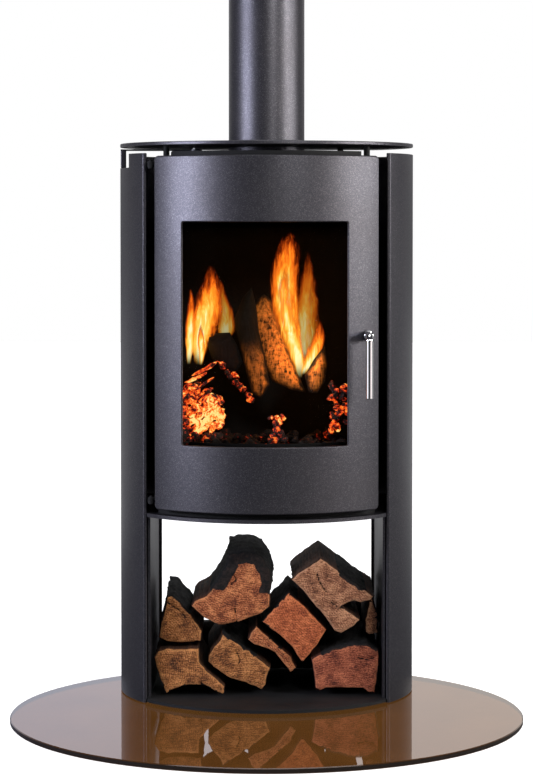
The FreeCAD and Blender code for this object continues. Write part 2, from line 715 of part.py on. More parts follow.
# End outlines in X and Z, and the front and rear ends in Y, of the logs in the store.
FIREWOOD = {
    "firewood_lower_logs": [
        ([(-220, 85), (-211, 99), (-194, 104), (-131, 104), (-129, 77), (-112, 58), (-80, 29),
          (-81, 15), (-88, 11), (-118, 29), (-150, 31), (-178, 23), (-195, 13), (-208, 42),
          (-216, 68)], (-140, 130)),
        ([(-86, 132), (-72, 122), (-41, 103), (-22, 90), (8, 63), (2, 48), (-1, 29), (-9, 17),
          (-41, 32), (-73, 42), (-102, 60), (-115, 74), (-114, 87), (-102, 106), (-93, 116)],
         (-128, 124)),
        ([(-38, 116), (-33, 129), (-20, 145), (-9, 135), (26, 103), (49, 84), (60, 61),
          (53, 53), (45, 51), (33, 68), (15, 90), (-6, 100), (-25, 106)], (-120, 132)),
        ([(85, 84), (106, 95), (132, 106), (167, 113), (196, 114), (219, 100), (219, 71),
          (216, 42), (211, 14), (196, 16), (187, 23), (139, 24), (116, 24), (103, 18),
          (94, 24), (89, 52)], (-136, 134)),
    ],
    "firewood_upper_logs": [
        ([(-197, 209), (-181, 207), (-154, 177), (-124, 135), (-127, 112), (-150, 111),
          (-170, 110), (-194, 112), (-210, 121), (-205, 164), (-199, 186)], (-122, 118)),
        ([(-148, 184), (-141, 195), (-118, 206), (-96, 235), (-80, 267), (-75, 287),
          (-54, 291), (-32, 292), (-9, 283), (7, 257), (14, 231), (7, 209), (8, 183),
          (-9, 169), (-41, 158), (-54, 151), (-93, 146), (-122, 161)], (-134, 140)),
        ([(-12, 154), (44, 212), (74, 186), (118, 138), (100, 106), (70, 72), (63, 80),
          (47, 103), (26, 125)], (-130, 120)),
        ([(47, 236), (58, 249), (105, 280), (116, 273), (167, 235), (213, 204), (203, 194),
          (183, 190), (171, 194), (148, 185), (167, 172), (183, 158), (167, 142), (145, 130),
          (131, 136), (121, 152), (92, 186), (65, 219)], (-138, 136)),
        ([(200, 188), (207, 194), (219, 161), (219, 125), (200, 121), (192, 126), (191, 150)],
         (-96, 128)),
    ],
}

# End outlines in Y and Z, and the left and right ends in X, of two logs laid across the rear.
REAR_LOGS = [
    ([(138, 20), (138, 84), (150, 97), (172, 99), (186, 84), (187, 30), (174, 13), (148, 13)],
     (-205, 200)),
    ([(141, 112), (140, 138), (150, 154), (170, 156), (183, 142), (183, 112), (172, 100),
      (151, 101)], (-78, 200)),
]


def leaning_log(low, high, radius):
    """Six-sided log between two points."""
    axis = high.sub(low)
    circle = Part.makePolygon([V(radius * math.cos(math.radians(60 * n)),
                                 radius * math.sin(math.radians(60 * n)), 0) for n in range(7)])
    prism = Part.Face(circle).extrude(V(0, 0, axis.Length))
    turn = FreeCAD.Rotation(V(0, 0, 1), axis)
    prism.Placement = FreeCAD.Placement(low, turn)
    return prism


# Lower end, upper end and radius of each log in the fire.
BURNING_LOGS = [
    (V(72, -30, 570), V(-2, 30, 790), 33.0),
    (V(-14, -108, 560), V(-38, -40, 790), 29.0),
    (V(-128, -14, 670), V(-58, 60, 690), 30.0),
    (V(88, -110, 585), V(112, -52, 690), 21.0),
]


def ember_bed():
    """Low bed of embers over the floor, heaped up at the left."""
    floor = BED_Z + BRICK_T + 0.5
    inner = 175.0
    plan = [(-inner, 100), (-inner, -160), (-110, -205), (110, -205), (inner, -160), (inner, 100)]
    bed = slab(plan, (floor, floor + 40))
    heap = Part.makeCone(62.0, 22.0, 95.0, V(-110, -110, floor))
    return bed.fuse(heap).removeSplitter()


# ---- writing ------------------------------------------------------------------------------

def pieces():
    right_side = firebox_side()
    right_brick = side_firebrick()
    nodes = {
        "hearth_plate": hearth_plate(),
        "base_plate": base_plate(),
        "levelling_feet": levelling_feet(),
        "left_casing": back_flange_holes(left_casing()),
        "right_casing": back_flange_holes(side_casing()),
        "left_store_wall": mirrored(store_wall()),
        "right_store_wall": store_wall(),
        "shelf_plate": shelf_plate(),
        "back_panel": back_panel(),
        "back_panel_screws": back_panel_screws(),
        "firebox_left_side": mirrored(right_side),
        "firebox_right_side": right_side,
        "firebox_back": firebox_back(),
        "firebox_floor": firebox_floor(),
        "firebox_top": firebox_top(),
        "firebox_front_frame": firebox_front_frame(),
        "left_firebrick": mirrored(right_brick),
        "right_firebrick": right_brick,
        "rear_firebrick": rear_firebrick(),
        "floor_support": floor_support(),
        "floor_firebricks": floor_firebricks(),
        "fire_grate": fire_grate(),
        "ash_pan": ash_pan(),
        "baffle_plate": baffle_plate(),
        "baffle_supports": baffle_supports(),
        "airwash_deflector": airwash_deflector(),
        "log_retainer": log_retainer(),
        "air_chamber": air_chamber(),
        "top_plate": top_plate(),
        "top_plate_spacers": top_plate_spacers(),
        "flue_spigot": flue_spigot(),
        "flue_spigot_screws": flue_spigot_screws(),
        "flue_pipe": flue_pipe(),
        "flue_collar": flue_collar(),
        "hinge_brackets": hinge_brackets(),
        "hinge_pins": hinge_pins(),
        "latch_keeper": latch_keeper(),
        "door_skin": door_skin(),
        "door_frame": drill_clip_holes(door_frame()),
        "door_glass": door_glass(),
        "glass_tape": glass_tape(),
        "glass_clips": glass_clips(),
        "clip_screws": clip_screws(),
        "door_rope_seal": door_rope_seal(),
        "hinge_lugs": hinge_lugs(),
        "handle_bush": handle_bush(),
        "handle_rod": handle_rod(),
        "latch_tongue": latch_tongue(),
        "spindle_washer": spindle_washer(),
        "air_valve_disc": air_valve_disc(),
        "air_lever_bush": air_lever_bush(),
        "air_lever_arm": air_lever_arm(),
        "air_lever_knob": air_lever_knob(),
        "air_lever_pivot": air_lever_pivot(),
        "ember_bed": ember_bed(),
        "burning_logs": group([leaning_log(*log) for log in BURNING_LOGS]),
    }
    for name, logs in FIREWOOD.items():
        nodes[name] = group([beam(outline, ends) for outline, ends in logs])
    nodes["firewood_rear_logs"] = group([bar(outline, ends) for outline, ends in REAR_LOGS])
    return nodes


def main():
    os.makedirs("parts", exist_ok=True)
    for name, shape in pieces().items():
        shape.translate(V(0, HEARTH_AHEAD, HEARTH_T))
        shape.exportStep(os.path.join("parts", name + ".step"))
        print(f"{name:22s} solids {len(shape.Solids)}  volume {shape.Volume / 1000:.1f} cm3")


main()
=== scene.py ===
"""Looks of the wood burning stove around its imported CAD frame."""
import json
import math
import random

import bmesh
import bpy
from mathutils import Matrix, Vector, geometry, noise


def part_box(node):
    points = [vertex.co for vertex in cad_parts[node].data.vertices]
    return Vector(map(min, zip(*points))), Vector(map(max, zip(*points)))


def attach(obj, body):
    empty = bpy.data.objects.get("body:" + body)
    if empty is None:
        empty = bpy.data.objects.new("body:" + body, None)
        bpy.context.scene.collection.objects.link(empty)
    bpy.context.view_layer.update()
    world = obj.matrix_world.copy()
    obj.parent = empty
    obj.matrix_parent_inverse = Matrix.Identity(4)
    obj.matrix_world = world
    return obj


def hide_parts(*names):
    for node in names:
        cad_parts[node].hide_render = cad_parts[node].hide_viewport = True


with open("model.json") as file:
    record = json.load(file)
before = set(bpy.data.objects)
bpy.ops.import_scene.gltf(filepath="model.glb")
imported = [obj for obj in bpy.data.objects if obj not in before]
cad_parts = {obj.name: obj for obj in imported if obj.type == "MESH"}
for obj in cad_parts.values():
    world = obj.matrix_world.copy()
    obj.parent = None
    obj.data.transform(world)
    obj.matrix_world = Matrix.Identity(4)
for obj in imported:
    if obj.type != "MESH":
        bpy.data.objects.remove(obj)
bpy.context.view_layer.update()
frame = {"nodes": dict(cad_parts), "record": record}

RECORD = frame["record"]
BODY_Y = next(m for m in RECORD["mounts"] if m["name"] == "flue_socket")["pos_m"][1]
HEARTH_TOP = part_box("hearth_plate")[1].z
MM = 0.001


def at(x, y, z):
    """Millimetres from the body's axis at the top of the hearth, as a point in the row frame."""
    return Vector((x * MM, y * MM + BODY_Y, z * MM + HEARTH_TOP))


# ---- node helpers -------------------------------------------------------------------------

class Graph:
    """The node tree of a material or a world."""

    def __init__(self, name, kind="Material"):
        library, spot = {"Material": (bpy.data.materials, "Object"),
                         "World": (bpy.data.worlds, "Generated")}[kind]
        self.owner = library.new(name)
        self.owner.use_nodes = True
        self.tree = self.owner.node_tree
        self.tree.nodes.clear()
        self.output = self.tree.nodes.new("ShaderNodeOutput" + kind)
        self.place = self.add("ShaderNodeTexCoord").outputs[spot]

    def add(self, kind, settings=None, **inputs):
        node = self.tree.nodes.new(kind)
        for key, value in (settings or {}).items():
            setattr(node, key, value)
        for key, value in inputs.items():
            self.feed(node.inputs[key.replace("_", " ")], value)
        return node

    def feed(self, socket, value):
        if isinstance(value, bpy.types.NodeSocket):
            self.tree.links.new(value, socket)
        else:
            socket.default_value = value

    def stretched(self, scale=(1, 1, 1), turn=(0, 0, 0)):
        return self.add("ShaderNodeMapping", Vector=self.place, Scale=scale,
                        Rotation=turn).outputs[0]

    def noise(self, scale, detail=2.0, rough=0.5, where=None, twist=0.0):
        return self.add("ShaderNodeTexNoise", Vector=where or self.place, Scale=scale,
                        Detail=detail, Roughness=rough, Distortion=twist).outputs[0]

    def cells(self, scale):
        """A random value in each small cell."""
        node = self.add("ShaderNodeTexVoronoi", Vector=self.place, Scale=scale)
        return self.add("ShaderNodeSeparateColor", Color=node.outputs["Color"]).outputs[0]

    def attribute(self, name):
        return self.add("ShaderNodeAttribute", {"attribute_name": name}).outputs["Fac"]

    def math(self, operation, a, b=0.5):
        node = self.add("ShaderNodeMath", {"operation": operation})
        self.feed(node.inputs[0], a)
        self.feed(node.inputs[1], b)
        return node.outputs[0]

    def along(self, axis):
        """The place along X, Y or Z: in metres, or for a world the direction that is looked in."""
        return self.add("ShaderNodeSeparateXYZ", Vector=self.place).outputs["XYZ".index(axis)]

    def shifted(self, value, texture, amount):
        """value, moved up and down by a texture that is centred on a half."""
        return self.math("ADD", value, self.scaled(self.math("SUBTRACT", texture, 0.5), amount))

    def scaled(self, value, share):
        return self.math("MULTIPLY", value, share)

    def fit(self, value, low, high, to_low=0.0, to_high=1.0):
        """value, eased from the range low to high into the range to_low to to_high."""
        node = self.add("ShaderNodeMapRange", {"interpolation_type": "SMOOTHSTEP"}, Value=value,
                        From_Min=low, From_Max=high, To_Min=to_low, To_Max=to_high)
        return node.outputs[0]

    def ramp(self, value, stops):
        node = self.add("ShaderNodeValToRGB", Fac=value)
        elements = node.color_ramp.elements
        elements.remove(elements[1])
        elements[0].position = stops[0][0]
        elements[0].color = (*stops[0][1], 1)
        for spot, colour in stops[1:]:
            elements.new(spot).color = (*colour, 1)
        return node.outputs[0]

    def mix(self, share, a, b, blend="MIX"):
        node = self.add("ShaderNodeMix", {"data_type": "RGBA", "blend_type": blend})
        self.feed(node.inputs[0], share)
        for socket, value in ((node.inputs[6], a), (node.inputs[7], b)):
            self.feed(socket, value if isinstance(value, bpy.types.NodeSocket) else (*value, 1))
        return node.outputs[2]

    def bump(self, height, strength, distance):
        return self.add("ShaderNodeBump", Height=height, Strength=strength,
                        Distance=distance).outputs[0]

    def principled(self, **inputs):
        return self.add("ShaderNodeBsdfPrincipled", **inputs).outputs[0]

    def blended(self, share, first, second):
        """Two shaders; share is how much of the second one shows."""
        node = self.add("ShaderNodeMixShader", Fac=share)
        self.feed(node.inputs[1], first)
        self.feed(node.inputs[2], second)
        return node.outputs[0]

    def show(self, shader):
        self.tree.links.new(shader, self.output.inputs["Surface"])
        return self.owner


# ---- materials ----------------------------------------------------------------------------

def stove_paint():
    """Satin charcoal paint with fine metal flakes."""
    g = Graph("metallic_charcoal_paint")
    flakes = g.cells(850)
    clouds = g.noise(6, 3)
    colour = g.ramp(flakes, [(0.0, (0.064, 0.062, 0.073)), (0.75, (0.090, 0.087, 0.100)),
                             (1.0, (0.165, 0.160, 0.172))])
    colour = g.mix(g.fit(clouds, 0.35, 0.75, 0.0, 0.22), colour, (0.080, 0.070, 0.070))
    skin = g.math("ADD", g.noise(520, 3), g.scaled(flakes, 0.25))
    return g.show(g.principled(
        Base_Color=colour, Metallic=0.78, Roughness=g.fit(clouds, 0.2, 0.8, 0.36, 0.42),
        Normal=g.bump(skin, 0.22, 0.0005)))


def black_steel():
    g = Graph("matt_black_steel")
    clouds = g.noise(9, 3)
    colour = g.ramp(clouds, [(0.3, (0.005, 0.005, 0.006)), (0.75, (0.012, 0.012, 0.013))])
    return g.show(g.principled(
        Base_Color=colour, Metallic=0.25, Roughness=g.fit(clouds, 0.2, 0.8, 0.62, 0.8),
        Normal=g.bump(g.noise(700, 2), 0.2, 0.0004)))


def plated_steel():
    g = Graph("zinc_plated_steel")
    clouds = g.noise(60, 4)
    colour = g.ramp(clouds, [(0.3, (0.36, 0.37, 0.38)), (0.7, (0.56, 0.56, 0.54))])
    return g.show(g.principled(
        Base_Color=colour, Metallic=1.0, Roughness=g.fit(clouds, 0.3, 0.7, 0.24, 0.42),
        Normal=g.bump(g.noise(900, 2), 0.1, 0.0002)))


def polished_chrome():
    g = Graph("polished_chrome")
    rub = g.noise(1, 4, 0.6, g.stretched((420, 420, 30)))
    colour = g.ramp(rub, [(0.3, (0.80, 0.80, 0.81)), (0.7, (0.90, 0.90, 0.90))])
    return g.show(g.principled(
        Base_Color=colour, Metallic=1.0, Roughness=g.fit(rub, 0.3, 0.75, 0.05, 0.13),
        Normal=g.bump(rub, 0.03, 0.0001)))


def smoked_glass():
    """Bronze-tinted plate: dark through its edge, mirror-like at a low angle. Its mirror colour is a
    painted reflection tint, bluish at the left and pinkish at the right.
    """
    g = Graph("bronze_smoked_glass")
    up = g.add("ShaderNodeNewGeometry").outputs["Normal"]
    up = g.math("ABSOLUTE", g.add("ShaderNodeSeparateXYZ", Vector=up).outputs[2])
    film = g.noise(7, 3)
    face = g.ramp(film, [(0.25, (0.37, 0.235, 0.11)), (0.8, (0.45, 0.30, 0.16))])
    tint = g.mix(g.fit(up, 0.5, 0.98), (0.03, 0.03, 0.035), face)
    through = g.add("ShaderNodeBsdfTransparent", Color=tint).outputs[0]
    # Painted reflection: the mirror colour runs from bluish at the left to pinkish at the right, as the
    # coloured lights on each side would tint it.
    painted_reflection_tint = g.ramp(g.fit(g.along("X"), -0.5, 0.5),
                  [(0.0, (0.84, 0.86, 1.0)), (1.0, (0.98, 0.90, 0.84))])
    shine = g.add("ShaderNodeBsdfGlossy", Color=painted_reflection_tint,
                  Roughness=g.fit(film, 0.3, 0.8, 0.012, 0.035)).outputs[0]
    outer = g.math("SUBTRACT", 1.0, g.add("ShaderNodeNewGeometry").outputs["Backfacing"])
    mirror = g.math("MULTIPLY", g.add("ShaderNodeFresnel", IOR=1.66).outputs[0], outer)
    return g.show(g.blended(mirror, through, shine))


def fire_glass():
    """Clear curved pane with a light film of soot at its top and bottom."""
    g = Graph("clear_ceramic_glass")
    low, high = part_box("door_glass")
    level = g.along("Z")
    rim = g.math("ADD", g.fit(level, high.z - 0.045, high.z - 0.012),
                 g.fit(level, low.z + 0.012, low.z + 0.035, 1.0, 0.0))
    soot = g.scaled(rim, g.fit(g.noise(14, 4, 0.6), 0.3, 0.7, 0.25, 0.7))
    tint = g.mix(soot, (0.96, 0.96, 0.95), (0.30, 0.28, 0.27))
    through = g.add("ShaderNodeBsdfTransparent", Color=tint).outputs[0]
    shine = g.add("ShaderNodeBsdfGlossy", Color=(1, 1, 1, 1), Roughness=0.03).outputs[0]
    share = g.math("MULTIPLY", g.add("ShaderNodeFresnel", IOR=1.3).outputs[0], 0.01)
    return g.show(g.blended(share, through, shine))


def sooty_brick():
    g = Graph("sooty_vermiculite")
    flecks = g.cells(420)
    soot = g.noise(8, 4, 0.6)
    bare = g.ramp(flecks, [(0.0, (0.003, 0.0025, 0.002)), (1.0, (0.010, 0.007, 0.005))])
    colour = g.mix(g.fit(soot, 0.3, 0.6), (0.001, 0.001, 0.001), bare)
    return g.show(g.principled(Base_Color=colour, Roughness=g.fit(soot, 0.2, 0.8, 0.85, 0.98),
                               Normal=g.bump(flecks, 0.4, 0.0008)))


def cast_grate():
    g = Graph("raw_cast_iron")
    skin = g.noise(260, 4, 0.7)
    colour = g.ramp(skin, [(0.3, (0.012, 0.011, 0.011)), (0.8, (0.05, 0.04, 0.034))])
    return g.show(g.principled(
        Base_Color=colour, Metallic=0.4, Roughness=g.fit(skin, 0.2, 0.8, 0.6, 0.85),
        Normal=g.bump(skin, 0.5, 0.0008)))


def glass_rope():
    """Braided black glass fibre: two crossed sets of slanting strands."""
    g = Graph("braided_glass_rope")
    strands = []
    for lean in (0.8, -0.8):
        where = g.stretched((1, 1, 1), (0, lean, 0))
        strands.append(g.add("ShaderNodeTexWave", {"bands_direction": "Z"}, Vector=where,
                             Scale=95, Distortion=1.0).outputs["Fac"])
    braid = g.math("MAXIMUM", strands[0], strands[1])
    colour = g.ramp(braid, [(0.0, (0.006, 0.006, 0.006)), (1.0, (0.045, 0.043, 0.041))])
    return g.show(g.principled(Base_Color=colour, Roughness=g.fit(braid, 0.0, 1.0, 0.95, 0.8),
                               Normal=g.bump(braid, 0.8, 0.001)))


def log_end(name, dark, mid, pale, turn):
    """Rough sawn end of a split log. turn is the run of its fibres, about Y."""
    g = Graph(name)
    edge = g.attribute("edge")
    pith = g.attribute("pith")
    crack = g.attribute("crack")
    rings = g.math("SINE", g.math("ADD", g.scaled(pith, 1500), g.scaled(g.noise(60, 3), 7)))
    fibres = g.noise(1, 4, 0.65, g.stretched((70, 70, 520), (0, turn, 0)))
    blotch = g.noise(42, 4, 0.6)
    pores = g.noise(420, 3, 0.7)
    tone = g.math("ADD", g.scaled(fibres, 0.55), g.scaled(blotch, 0.5))
    tone = g.math("ADD", tone, g.scaled(rings, 0.03))
    tone = g.shifted(tone, pores, 0.7)
    colour = g.ramp(tone, [(0.30, [c * 0.3 for c in dark]), (0.43, dark), (0.54, mid),
                           (0.67, [c * 1.15 for c in pale])])
    ragged = g.shifted(edge, g.noise(150, 4, 0.7), 0.014)
    fuzz = g.fit(ragged, 0.0006, 0.0050, 0.5, 0.0)
    colour = g.mix(fuzz, colour, [c * 1.25 for c in pale])
    bark = g.shifted(g.attribute("bark"), g.noise(120, 4), 0.9)
    rind = g.ramp(g.noise(150, 4, 0.7), [(0.4, (0.003, 0.002, 0.002)),
                                         (0.75, (0.040, 0.022, 0.016))])
    colour = g.mix(g.fit(bark, 0.42, 0.62), colour, rind)
    # Painted shade: the cracks are darkened to near black for the shade down in them.
    split = g.fit(g.shifted(crack, g.noise(200, 2), 0.003), 0.0008, 0.0022, 1.0, 0.0)
    colour = g.mix(split, colour, (0.008, 0.005, 0.004))
    rough = g.math("ADD", g.math("ADD", fibres, pores), g.scaled(split, -1.0))
    return g.show(g.principled(Base_Color=colour, Roughness=g.fit(blotch, 0.2, 0.8, 0.8, 0.95),
                               Normal=g.bump(rough, 0.75, 0.0016)))


def log_side_painted_shade(name, dark, mid):
    """Outside of a split log: furrowed bark where bark is 1, torn fibres where it is 0.
    Both carry painted shade: the bark is dark bark made near black, and the torn fibres are the
    end's dark and mid colours dimmed to 0.15 and 0.28 of themselves.
    """
    g = Graph(name)
    furrow = g.noise(1, 5, 0.65, g.stretched((95, 14, 95)), 0.8)
    fibres = g.noise(1, 4, 0.6, g.stretched((260, 9, 260)))
    # Painted shade: dark bark made near black, and below it torn fibres dimmed far under the end's
    # colours, for sides that lie in shade.
    rind = g.ramp(furrow, [(0.35, (0.001, 0.001, 0.001)), (0.65, (0.007, 0.005, 0.005)),
                           (0.85, (0.030, 0.020, 0.016))])
    torn = g.ramp(fibres, [(0.3, [c * 0.15 for c in dark]), (0.7, [c * 0.28 for c in mid])])
    colour = g.mix(g.fit(g.attribute("bark"), 0.35, 0.6), torn, rind)
    height = g.math("ADD", g.scaled(furrow, 1.4), g.scaled(fibres, 0.6))
    return g.show(g.principled(Base_Color=colour, Roughness=g.fit(furrow, 0.3, 0.8, 0.95, 0.8),
                               Normal=g.bump(height, 0.9, 0.003)))


def burning_wood(name, turn, lit, glow, lit_below=9.0):
    """Burning log: brown fibres that the flames light, charred round the edge. The flames' light on the
    fibres is painted: they emit their own colour tinted orange, at the strength glow.

    turn is the run of its fibres about Y, and above the height lit_below it is all char."""
    g = Graph(name)
    fibres = g.noise(1, 5, 0.65, g.stretched((230, 230, 26), (0, turn, 0)), 0.4)
    checks = g.noise(1, 3, 0.6, g.stretched((60, 60, 150), (0, turn, 0)))
    tone = g.math("ADD", g.scaled(fibres, 0.7), g.scaled(checks, 0.4))
    colour = g.ramp(tone, [(0.44, (0.006, 0.003, 0.002)), (0.56, [c * 0.45 for c in lit]),
                           (0.72, lit)])
    char = g.fit(g.shifted(g.attribute("edge"), g.noise(70, 3), 0.012), 0.001, 0.011, 1.0, 0.0)
    above = g.fit(g.along("Z"), lit_below - 0.035, lit_below + 0.035)
    char = g.math("MAXIMUM", char, above)
    colour = g.mix(char, colour, (0.004, 0.003, 0.002))
    # Painted light: the flames' light on the wood is emission of the wood's own colour, tinted orange.
    painted_flame_light = g.mix(1.0, colour, (1.0, 0.62, 0.22), "MULTIPLY")
    return g.show(g.principled(Base_Color=colour, Roughness=g.fit(fibres, 0.3, 0.8, 0.95, 0.75),
                               Normal=g.bump(tone, 0.8, 0.002), Emission_Color=painted_flame_light,
                               Emission_Strength=glow))


def embers():
    """Charcoal that glows by its glow_level attribute, with dark crusts."""
    g = Graph("glowing_embers")
    crust = g.noise(170, 4, 0.75)
    veins = g.noise(38, 4, 0.65, twist=1.2)
    heat = g.shifted(g.math("SUBTRACT", g.attribute("glow_level"), 0.08), crust, 1.7)
    heat = g.shifted(heat, veins, 3.2)
    glow = g.ramp(heat, [(0.30, (0, 0, 0)), (0.42, (0.14, 0.005, 0.001)),
                         (0.56, (0.62, 0.03, 0.004)), (0.74, (0.95, 0.14, 0.012)),
                         (0.9, (1.0, 0.38, 0.05)), (1.0, (1.0, 0.68, 0.22))])
    coal = g.ramp(crust, [(0.3, (0.006, 0.005, 0.005)), (0.8, (0.05, 0.035, 0.03))])
    return g.show(g.principled(Base_Color=coal, Roughness=g.fit(crust, 0.2, 0.8, 0.98, 0.85),
                               Normal=g.bump(crust, 0.7, 0.002), Emission_Color=glow,
                               Emission_Strength=1.25))


def flame_light(name, strength, cover):
    """Streaky flame, pale in its core and clear at its edges."""
    g = Graph(name)
    across = g.math("ABSOLUTE", g.attribute("across"))
    height = g.attribute("height")
    streak = g.noise(1, 3, 0.6, g.stretched((95, 95, 13)), 0.9)
    wisps = g.noise(1, 2, 0.5, g.stretched((210, 210, 22)), 0.5)
    core = g.math("SUBTRACT", 1.0, g.math("POWER", across, 1.7))
    body = g.math("MULTIPLY", core, g.fit(height, 0.55, 1.0, 1.0, 0.35))
    heat = g.shifted(g.shifted(body, streak, 1.3), wisps, 0.5)
    warmth = g.math("SUBTRACT", heat, g.scaled(g.fit(height, 0.0, 0.9), 0.42))
    colour = g.ramp(warmth, [(0.0, (0.30, 0.03, 0.003)), (0.28, (0.85, 0.14, 0.008)),
                             (0.52, (1.0, 0.32, 0.02)), (0.75, (1.0, 0.62, 0.10)),
                             (0.95, (1.0, 0.9, 0.45))])
    shine = g.add("ShaderNodeEmission", Color=colour, Strength=strength).outputs[0]
    clear = g.add("ShaderNodeBsdfTransparent").outputs[0]
    solid = g.scaled(g.fit(heat, 0.12, 0.75), cover)
    for fade in (g.fit(across, 0.72, 1.0, 1.0, 0.0), g.fit(height, 0.02, 0.26),
                 g.fit(height, 0.86, 1.0, 1.0, 0.0)):
        solid = g.scaled(solid, fade)
    return g.show(g.blended(solid, clear, shine))


def floor_paint():
    """White to look at, and darker in what it throws back on the stove, except far behind."""
    g = Graph("pale_floor")
    seen = g.add("ShaderNodeLightPath").outputs["Is Camera Ray"]
    pale = g.ramp(g.noise(3, 2), [(0.3, (0.86, 0.86, 0.86)), (0.7, (0.89, 0.89, 0.89))])
    colour = g.mix(seen, (0.10, 0.10, 0.11), pale)
    far = g.scaled(g.fit(g.along("Y"), 0.9, 4.0), 0.5)
    glow = g.math("MAXIMUM", g.scaled(seen, 0.76), far)
    return g.show(g.principled(Base_Color=colour, Roughness=0.9, Emission_Color=(1, 1, 1, 1),
                               Emission_Strength=glow))


SLOT_LOOKS = {
    "charcoal_paint": stove_paint(),
    "black_steel": black_steel(),
    "plated_steel": plated_steel(),
    "polished_chrome": polished_chrome(),
    "smoked_glass": smoked_glass(),
    "fire_glass": fire_glass(),
    "vermiculite": sooty_brick(),
    "cast_grate": cast_grate(),
    "glass_rope": glass_rope(),
}


def dress(node, look):
    """Gives a CAD node its material."""
    node.data.materials.clear()
    node.data.materials.append(look)


for part in RECORD["subparts"]:
    look = SLOT_LOOKS.get(part["material_slot"])
    node = frame["nodes"].get(part["node"])
    if look and node:
        dress(node, look)
# Painted shade: the floor of the log store is the same painted sheet, dressed in matt black steel for
# the shade it lies in under the logs.
dress(frame["nodes"]["base_plate"], SLOT_LOOKS["black_steel"])


# ---- mesh helpers -------------------------------------------------------------------------

def piece(name, bm, materials, replaced=(), smooth=True):
    """Turns a bmesh into a piece that rides on the stove."""
    bmesh.ops.recalc_face_normals(bm, faces=bm.faces)
    for face in bm.faces:
        face.smooth = smooth
    mesh = bpy.data.meshes.new(name)
    bm.to_mesh(mesh)
    bm.free()
    for m in materials:
        mesh.materials.append(m)
    obj = bpy.data.objects.new(name, mesh)
    bpy.context.scene.collection.objects.link(obj)
    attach(obj, "stove")
    if replaced:
        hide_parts(*replaced)
    return obj


def resampled(points, step):
    """The same closed outline with corners kept and long edges divided."""
    out = []
    for a, b in zip(points, points[1:] + points[:1]):
        n = max(1, round(math.dist(a, b) / step))
        out += [(a[0] + (b[0] - a[0]) * i / n, a[1] + (b[1] - a[1]) * i / n) for i in range(n)]
    return out


def to_segments(p, points, closed=True):
    """Distance from p to a polyline."""
    ends = points[1:] + (points[:1] if closed else [])
    best = 1e9
    for a, b in zip(points, ends):
        ax, ay = a
        dx, dy = b[0] - ax, b[1] - ay
        t = max(0.0, min(1.0, ((p[0] - ax) * dx + (p[1] - ay) * dy) / max(dx * dx + dy * dy, 1e-9)))
        best = min(best, math.hypot(p[0] - ax - t * dx, p[1] - ay - t * dy))
    return best


def inside(p, points):
    hit = False
    for (x0, y0), (x1, y1) in zip(points, points[1:] + points[:1]):
        if (y0 > p[1]) != (y1 > p[1]) and p[0] < (x1 - x0) * (p[1] - y0) / (y1 - y0) + x0:
            hit = not hit
    return hit


def filled(outline, step, rng):
    """Triangles inside an outline: (points, faces), the outline's own points first."""
    xs, zs = [p[0] for p in outline], [p[1] for p in outline]
    inner = []
    z = min(zs) + step / 2
    while z < max(zs):
        x = min(xs) + step / 2
        while x < max(xs):
            p = (x + rng.uniform(-0.3, 0.3) * step, z + rng.uniform(-0.3, 0.3) * step)
            if inside(p, outline) and to_segments(p, outline) > step * 0.45:
                inner.append(p)
            x += step
        z += step
    points = [Vector(p) for p in outline + inner]
    loop = list(range(len(outline)))
    made = geometry.delaunay_2d_cdt(points, [], [loop], 1, 1e-6)
    return [tuple(v) for v in made[0]], made[2]


def outward_normals(edge):
    """For each point of a closed outline, the unit vector that points out of it."""
    after = edge[1:] + edge[:1]
    area = sum(a[0] * b[1] - b[0] * a[1] for a, b in zip(edge, after))
    sign = 1 if area > 0 else -1
    return [Vector((b[1] - a[1], a[0] - b[0])).normalized() * sign
            for a, b in zip(edge[-1:] + edge[:-1], after)]


def middle(points):
    """Mean of a list of flat points."""
    return tuple(sum(p[i] for p in points) / len(points) for i in (0, 1))


def band(bm, rings):
    """Faces between rings of vertices, each ring joined to the next."""
    made = []
    for low, high in zip(rings, rings[1:]):
        for i, j in zip(range(len(low)), [*range(1, len(low)), 0]):
            made.append(bm.faces.new((low[i], low[j], high[j], high[i])))
    return made


def wobble(x, y, z, size, seed):
    """Smooth noise from -1 to 1, over features of that size in millimetres."""
    return noise.noise(Vector((x / size + seed, y / size, z / size - seed)))


# ---- firewood -----------------------------------------------------------------------------

RIM_STEP = 4.5            # millimetres between points round a log
FRONT_STEP = 3.6          # between those on its front end
REAR_STEP = 7.0           # and between those on its rear end and round a rear log
LOG_STATIONS = 26
REAR_LOG_STATIONS = 48
SIDE_LOOK = 1             # material index of a log's sides
CRACK_DEPTH = 5.0
CRACK_REACH = 3.0         # half the width of a crack
NO_CRACK = 99.0


